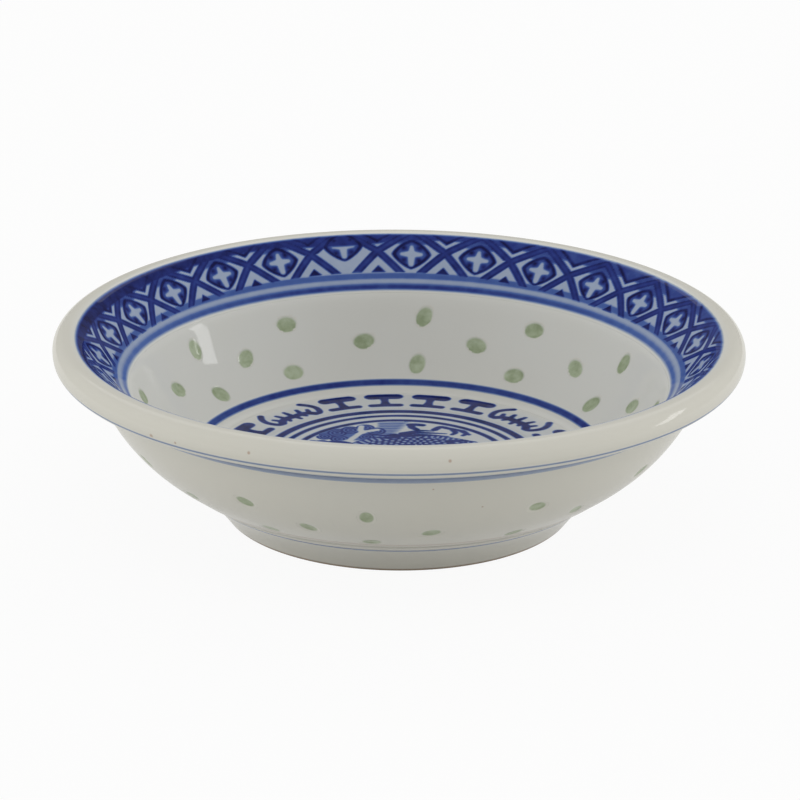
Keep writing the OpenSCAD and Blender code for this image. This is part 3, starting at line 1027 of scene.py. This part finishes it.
def bat_ink(x, y):
    """Ink of a bat: a thick body with ragged tufts, between two wings whose tips curl outwards."""
    x = x / 0.93
    spine = ((-3.5, 22.6), (-2.7, 23.4), (-1.4, 23.8), (0, 23.7), (1.4, 23.8), (2.7, 23.4), (3.5, 22.6))
    ink = brush(x, y, spine, 0.68)
    tufts = (((-3.0, 23.4), (-3.7, 24.5)), ((-1.7, 24.0), (-2.2, 25.5)), ((-0.1, 24.2), (-0.2, 25.9)))
    tufts += (((1.7, 24.0), (2.1, 25.5)), ((3.0, 23.4), (3.6, 24.6)))
    tufts += (((-1.5, 23.5), (-1.8, 22.7)), ((0, 23.5), (0.2, 22.4)), ((1.4, 23.5), (1.7, 22.8)))
    for root, tip in tufts:
        ink = np.maximum(ink, brush(x, y, (root, tip), 0.5, 0.34))
    wing = ((3.4, 22.7), (4.1, 22.4), (4.8, 23.0), (5.3, 24.4), (5.0, 25.8), (4.2, 27.0))
    for side in (-1, 1):
        ink = np.maximum(ink, brush(x, y, [(side * across, out) for across, out in wing], 0.5, 0.52))
    return ink


def fret_ink(x, y):
    """Ink of the ring of bars and bats."""
    ink = np.zeros(len(x))
    for angles, draw in ((BAR_ANGLES, bar_ink), (BAT_ANGLES, bat_ink)):
        for angle in angles:
            turn = math.radians(90 - angle)
            across = x * math.cos(turn) - y * math.sin(turn)
            out = x * math.sin(turn) + y * math.cos(turn)
            near = (np.abs(across) < 7) & (out > 0)
            ink[near] = np.maximum(ink[near], draw(across[near], out[near]))
    haze = FLOOR_HAZE * (1 - smooth_step(25.5, 28, np.hypot(x, y)))
    return np.maximum(ink, haze)


# The dragon of the medallion, in millimetres from its middle, from the tail to the neck
DRAGON_SPINE = (
    (12, 5.2), (10, 6.2), (6.5, 7.4), (2.5, 8.2), (-1.5, 7.2), (-5, 4.8), (-6.6, 1), (-5.8, -4), (-2, -7.4),
    (3, -7.6), (6.6, -4.6), (6.4, -0.4), (3.4, 1.8), (0.2, 1),
)
HEAD = (-1.8, -0.4)
LEGS = (
    ((-6, 4.6), (-9, 6.6), (-11.6, 6)),
    ((-5.4, -5), (-8.4, -7.2), (-9, -10)),
    ((6.8, -4.2), (9.8, -5), (11.6, -3)),
)
MANE = (
    ((-0.6, 9.4), (2.2, 10.8), (4.4, 10.8), (6.9, 10.5)),
    ((0.4, 10.4), (3.0, 11.7), (5.0, 11.6)),
    ((0.8, 9.4), (3.8, 9.9), (7.2, 9.4)),
    ((-0.8, 9.8), (-2.2, 9.6), (-4.2, 9.9)),
    ((-0.4, 9), (-2, 8.6), (-4, 8.8)),
)
COMMA = (((1.5, 14.2), (2.4, 14.3), (3.4, 14.1)), ((1.7, 13.9), (1.8, 13.1), (2.5, 12.2)))
TAIL = (((7.5, 7.4), (9.4, 7.6), (11.2, 7.2)), ((7.5, 6.2), (9.6, 5.6), (11.4, 5.0)))
FLAMES = (
    ((5.2, 12.2), (6.1, 13.3), (7.4, 12.7), (9.3, 11.7), (10.3, 10.2)),
    ((8, 12.2), (8.3, 11), (7.8, 10.2)),
    ((9.4, 11.6), (9.9, 10.6), (9.4, 9.8)),
    ((11.8, 5.6), (13.2, 6.7), (14.4, 6.2)),
    ((-12.8, 3), (-13.6, 1), (-12.6, -1)),
    ((11, -8), (9.4, -10.4), (10, -12)),
    ((-1, -10.4), (1, -12.4), (4, -11.8)),
    ((12.6, 1.4), (13.8, -0.6), (13, -2.6)),
)

# Curls of cloud as place across and up and radius, and the pale fork that shows between them
CLOUDS = (
    (-11.6, 6.4, 1.1), (-11.2, 9, 1.3), (-9.4, 10.6, 1.5), (-7.4, 11.8, 1.5), (-5.2, 12.8, 1.4),
    (-3.6, 11.4, 1.5), (-9, 8, 1.4), (-5, 9, 1.2), (-13, -3.6, 1.2), (-11.4, -5.2, 1.5),
    (-12.6, -7, 1.1), (-3.6, -12.2, 1.4), (-1.4, -13, 1.4), (0.8, -12, 1.4), (8, -10.2, 1.3),
    (9.8, -9.2, 1.5), (11.4, -7.6, 1.2), (12.6, -0.6, 1.3), (13, 1.6, 1.1), (0.4, -4, 1.2),
    (1.8, -3.2, 1.1), (-10.6, 2.2, 1.2), (-12, 3.4, 1.2), (2.4, 4.6, 1),
)
FORK = (
    ((-9.7, 6.6), (-7.8, 7.2), (-6.7, 9), (-5.6, 10.9), (-3.4, 12)),
    ((-5.6, 10.9), (-5.9, 12), (-5.8, 13.4)),
)


def cloud_ink(x, y, across, up, size):
    """Ink and cover of one curl of cloud: a dark round with two pale rings in it."""
    away = np.hypot(x - across, y - up)
    rings = np.minimum(np.abs(away - 0.68 * size), np.abs(away - 0.3 * size))
    return 0.92 - 0.45 * stroke(rings, 0.06 * size, 0.2), stroke(away, size, 0.2)


def scaled_body_ink(x, y):
    """Ink and cover of the dragon's body: dark, with rows of pale scales, barred belly and a toothed back."""
    distance, along, side, run = along_curve(x, y, smooth_curve(DRAGON_SPINE, 8))
    place = along * run
    half = 0.4 + 2.2 * np.sin(np.pi * np.clip(along * 1.05 + 0.05, 0, 1)) ** 0.6
    row = np.round(side / 0.8)
    scale = np.hypot((place / 1.1 + row / 2) % 1 - 0.5, side / 0.8 - row)
    ink = 0.95 - 0.7 * stroke(scale, 0.3, 0.25)
    belly = side < -0.45 * half
    bars = 0.3 + 0.6 * stroke(np.abs((place / 0.8) % 1 - 0.5), 0.26, 0.2)
    ink = np.where(belly, bars, ink)
    ink = np.maximum(ink, 0.9 * stroke(np.abs(distance - half), 0.16, 0.2))
    tooth = half + 0.9 * (1 - (place / 1.3) % 1)
    back = stroke(side - tooth, 0.0, 0.2) * (side > half)
    cover = np.maximum(stroke(distance - half, 0.1, 0.2), back)
    return np.where(side > half, 0.9 * back, ink), cover


def head_ink(x, y):
    """Ink and cover of the dragon's head: a heavy jaw and brow, round eyes, horns and whiskers."""
    u, v = x - HEAD[0], y - HEAD[1]
    jaw = stroke(np.hypot(u / 1.25, v) - 1.9, 0.0)
    snout = stroke(np.hypot(u + 2.2, v + 0.6) - 1.3, 0.0)
    cover = np.maximum(jaw, snout)
    ink = 0.95 * cover
    for eye in ((-0.3, 0.8), (-1.6, 0.9)):
        away = np.hypot(u - eye[0], v - eye[1])
        ink = np.where(away < 0.62, 0.1 + 0.85 * stroke(away, 0.2), ink)
    mouth = brush(u, v, ((-3.3, -0.9), (-1.8, -1.1), (0.2, -0.7)), 0.16)
    ink *= 1 - 0.85 * mouth
    horns = (((0.4, 1.5), (1.6, 3), (3.4, 3.4)), ((-0.8, 1.7), (-0.4, 3.6), (0.8, 4.6)))
    whiskers = (((-3.2, -0.2), (-5, 0.6), (-5.4, 2.2)), ((-3, -1.2), (-4.6, -2.4), (-6.2, -2)))
    mane = tuple(((1.8, -0.2 - row), (3.4, -1 - row), (4.4, -0.4 - row)) for row in (0, 1, 2))
    for points in (*horns, *whiskers, *mane):
        hair = brush(u, v, points, 0.34, 0.14)
        ink = np.maximum(ink, 0.9 * hair)
        cover = np.maximum(cover, hair)
    return ink, cover


def leg_ink(x, y, points):
    """Ink of a leg with four spread claws."""
    ink = brush(x, y, points, 0.9, 0.6)
    foot = np.array(points[-1])
    heading = math.atan2(*(foot - np.array(points[-2]))[::-1])
    for spread in (-1.1, -0.4, 0.4, 1.1):
        reach = np.array([math.cos(heading + spread), math.sin(heading + spread)])
        claw = (foot, foot + 1.3 * reach, foot + 2.1 * reach + 0.4 * np.array([-reach[1], reach[0]]))
        ink = np.maximum(ink, brush(x, y, claw, 0.34, 0.12))
    return ink


def dragon_ink(x, y):
    """Ink of the medallion's drawing: a coiled dragon among clouds and flames."""
    hatch = stroke(np.abs((y / 0.72) % 1 - 0.5), 0.22, 0.2)
    left_edge = smooth_step(-3.8, -2.8, x)
    right_edge = 1 - smooth_step(-0.6, 1.2, x + 0.4 * (13 - y))
    patch = left_edge * right_edge * smooth_step(9.4, 10.4, y)
    bank = stroke(np.hypot((x + 7.6) / 1.7, y - 10) - 2.6, 0.0, 0.4)
    ink = np.maximum((0.3 + 0.35 * hatch) * patch, 0.6 * bank)
    for across, up, size in CLOUDS:
        drawn, cover = cloud_ink(x, y, across, up, size)
        ink += (drawn - ink) * cover
    for points in FORK:
        ink *= 1 - 0.92 * brush(x, y, points, 0.55, 0.45)
    for points in FLAMES:
        ink = np.maximum(ink, 0.92 * brush(x, y, points, 0.55, 0.32))
    for points in LEGS:
        ink = np.maximum(ink, 0.9 * leg_ink(x, y, points))
    for drawn, cover in (scaled_body_ink(x, y), head_ink(x, y)):
        ink += (drawn - ink) * cover
    for points in (*MANE, *TAIL):
        ink = np.maximum(ink, 0.95 * brush(x, y, points, 0.66, 0.15))
    for points in COMMA:
        ink = np.maximum(ink, 0.95 * brush(x, y, points, 0.6, 0.5))
    return ink


def medallion_ink(x, y):
    """Ink of the medallion: three rings round the dragon."""
    reach = np.hypot(x, y)
    ink = np.full(len(x), FLOOR_HAZE)
    inside = reach < RINGS[-1][0] - 0.6
    ink[inside] = np.maximum(ink[inside], dragon_ink(x[inside], y[inside]))
    for radius, half_width in RINGS:
        ink = np.maximum(ink, stroke(np.abs(reach - radius), half_width))
    return ink


class DISH_OT_floor_print(bpy.types.Operator):
    """Print the ring of bars and bats and the medallion on the floor"""

    bl_idname = "dish.floor_print"
    bl_label = "Floor print"

    def execute(self, context):
        floor = sizes().recess_depth + sizes().base
        cobalt = underglaze_cobalt()
        outer, inner = (np.array([radius * MM, floor]) for radius in (FRET_OUTER, FRET_INNER))
        fret = band("fret_ring_glazed", outer, inner, FRET_ROWS, FRET_STEPS)
        x, y, _ = points_of(fret).T / MM
        paint(fret, "cobalt", PRINT_STRENGTH * fret_ink(x - PRINT_SHIFT, y))
        finish_piece(fret, cobalt, "cobalt_print", "fret_bars", "bat_figures")
        pigment = sizes().pigment
        edge = MEDALLION_EDGE * MM
        under = floor - SUNK * pigment
        profile = [(edge, floor - pigment)]
        profile += [(radius, floor + pigment) for radius in np.linspace(edge - 0.15 * MM, 0, MEDALLION_ROWS)]
        profile += [(0, under), (edge, under), (edge, floor - pigment)]
        medallion = spun("medallion_glazed", profile, MEDALLION_STEPS)
        x, y, _ = points_of(medallion).T / MM
        paint(medallion, "cobalt", PRINT_STRENGTH * medallion_ink(x - PRINT_SHIFT, y))
        finish_piece(medallion, cobalt, "cobalt_wash", "medallion_rings", "medallion_print")
        return {"FINISHED"}


# Stage

VIEW_TARGET_HEIGHT = 12 * MM
VIEW_DISTANCE = 500 * MM
VIEW_ELEVATION = math.radians(20.6)
VIEW_ROLL = math.radians(0.4)
IMAGE_SIDE = 800
FOCAL_PIXELS = 3420
CENTRE_RIGHT_PIXELS = -1.45
CENTRE_DOWN_PIXELS = 27.38
SENSOR = 36.0
AMBIENT = 0.68
REFLECTED = 0.25
TABLE_WHITE = 0.93
TABLE_SIDE = 6


def stage_camera():
    """A camera at the photograph's viewing angle, with the small shift of its framing."""
    camera = bpy.data.objects.new("camera", bpy.data.cameras.new("camera"))
    bpy.context.scene.collection.objects.link(camera)
    back = VIEW_DISTANCE * math.cos(VIEW_ELEVATION)
    up = VIEW_TARGET_HEIGHT + VIEW_DISTANCE * math.sin(VIEW_ELEVATION)
    turn = Matrix.Rotation(math.pi / 2 - VIEW_ELEVATION, 4, "X") @ Matrix.Rotation(VIEW_ROLL, 4, "Z")
    camera.matrix_world = Matrix.Translation((0, -back, up)) @ turn
    camera.data.sensor_width = SENSOR
    camera.data.lens = SENSOR * FOCAL_PIXELS / IMAGE_SIDE
    camera.data.shift_x = -CENTRE_RIGHT_PIXELS / IMAGE_SIDE
    camera.data.shift_y = CENTRE_DOWN_PIXELS / IMAGE_SIDE
    camera.data.clip_start = 0.01
    bpy.context.scene.camera = camera


def table_paper():
    """Matt white table paper: the camera sees it white, with the dish's shadow still on it."""
    material, tree, _ = start_material("Matt table paper")
    paper = node(tree, "ShaderNodeBsdfDiffuse", {"Color": opaque(colours().floor)})
    white = node(tree, "ShaderNodeEmission", {"Strength": 1.0})
    rays = node(tree, "ShaderNodeLightPath").outputs
    seen = rays["Is Camera Ray"]
    for kind in ("Is Glossy Ray", "Is Transmission Ray"):
        seen = node(tree, "ShaderNodeMath", {0: seen, 1: rays[kind]}, operation="MAXIMUM").outputs[0]
    share = node(tree, "ShaderNodeMath", {0: seen, 1: TABLE_WHITE}, operation="MULTIPLY").outputs[0]
    shader = node(tree, "ShaderNodeMixShader", {0: share, 1: paper.outputs[0], 2: white.outputs[0]})
    node(tree, "ShaderNodeOutputMaterial", {"Surface": shader.outputs[0]})
    return material


def studio_world():
    """Even white light from all round, white to the camera and dim in reflections, as in a dark room."""
    world = bpy.data.worlds.new("studio")
    bpy.context.scene.world = world
    world.use_nodes = True
    tree = world.node_tree
    tree.nodes.clear()
    rays = node(tree, "ShaderNodeLightPath").outputs
    dimming = {"Value": rays["Is Glossy Ray"], "To Min": AMBIENT, "To Max": REFLECTED}
    lit = node(tree, "ShaderNodeMapRange", dimming).outputs[0]
    whitening = {"Value": rays["Is Camera Ray"], "To Min": lit, "To Max": 1.0}
    seen = node(tree, "ShaderNodeMapRange", whitening).outputs[0]
    sky = node(tree, "ShaderNodeBackground", {"Color": (1, 1, 1, 1), "Strength": seen})
    node(tree, "ShaderNodeOutputWorld", {"Surface": sky.outputs[0]})


def softbox(name, place, width, height, radiance, roll=0, reflected=False):
    """A soft light with square corners that looks at the dish and shines with one radiance all over."""
    lamp = bpy.data.lights.new(name, "AREA")
    lamp.shape = "RECTANGLE"
    lamp.size = width
    lamp.size_y = height
    lamp.energy = radiance * math.pi * width * height
    lit = bpy.data.objects.new(name, lamp)
    bpy.context.scene.collection.objects.link(lit)
    lit.visible_glossy = reflected
    across, deep, up = place
    tilt = Matrix.Rotation(math.acos(up / math.hypot(*place)), 4, "X")
    turn = Matrix.Rotation(math.atan2(deep, across) + math.pi / 2, 4, "Z")
    lit.matrix_world = Matrix.Translation(place) @ turn @ tilt @ Matrix.Rotation(math.radians(roll), 4, "Z")


class DISH_OT_stage(bpy.types.Operator):
    """Set the table, the light and the camera"""

    bl_idname = "dish.stage"
    bl_label = "Stage"

    def execute(self, context):
        floor = fresh_piece("table", bpy.ops.mesh.primitive_plane_add, size=TABLE_SIDE)
        floor.data.materials.append(table_paper())
        studio_world()
        softbox("right softbox", (1.24, 0.18, 0.4), 0.16, 0.7, 6, roll=-40, reflected=True)
        softbox("back panel", (0, 1.0, 0.9), 1.2, 0.6, 0.9, reflected=True)
        softbox("top panel", (0, -0.6, 1.2), 1.0, 0.6, 1.15)
        softbox("left panel", (-1.3, -0.25, 0.25), 1.0, 0.5, 3.4)
        softbox("right panel", (1.3, -0.3, 0.25), 1.0, 0.5, 2.1)
        stage_camera()
        context.scene.view_settings.view_transform = "Standard"
        return {"FINISHED"}


OPERATORS = (
    DISH_OT_body, DISH_OT_windows, DISH_OT_border, DISH_OT_lines, DISH_OT_floor_print, DISH_OT_stage,
)


class DISH_PT_panel(bpy.types.Panel):
    """Lists the dish's pieces and what can be changed"""

    bl_idname = "DISH_PT_panel"
    bl_label = "Sauce dish"
    bl_space_type = "VIEW_3D"
    bl_region_type = "UI"
    bl_category = "Dish"

    def draw(self, context):
        for operator in OPERATORS:
            self.layout.operator(operator.bl_idname)
        for group in (context.scene.dish_sizes, context.scene.dish_colours):
            for name in group.bl_rna.properties.keys():
                if name not in ("rna_type", "name"):
                    self.layout.prop(group, name)


CLASSES = (DishSizes, DishColours, *OPERATORS, DISH_PT_panel)


def register():
    """Adds the classes, and their values to the scene."""
    for each in CLASSES:
        bpy.utils.register_class(each)
    bpy.types.Scene.dish_sizes = bpy.props.PointerProperty(type=DishSizes)
    bpy.types.Scene.dish_colours = bpy.props.PointerProperty(type=DishColours)


def unregister():
    """Takes the values and the classes away again."""
    del bpy.types.Scene.dish_colours
    del bpy.types.Scene.dish_sizes
    for each in reversed(CLASSES):
        bpy.utils.unregister_class(each)


def main():
    """Builds every piece in order."""
    register()
    bpy.ops.dish.body()
    bpy.ops.dish.windows()
    bpy.ops.dish.border()
    bpy.ops.dish.lines()
    bpy.ops.dish.floor_print()
    bpy.ops.dish.stage()


if __name__ == "__main__":
    main()
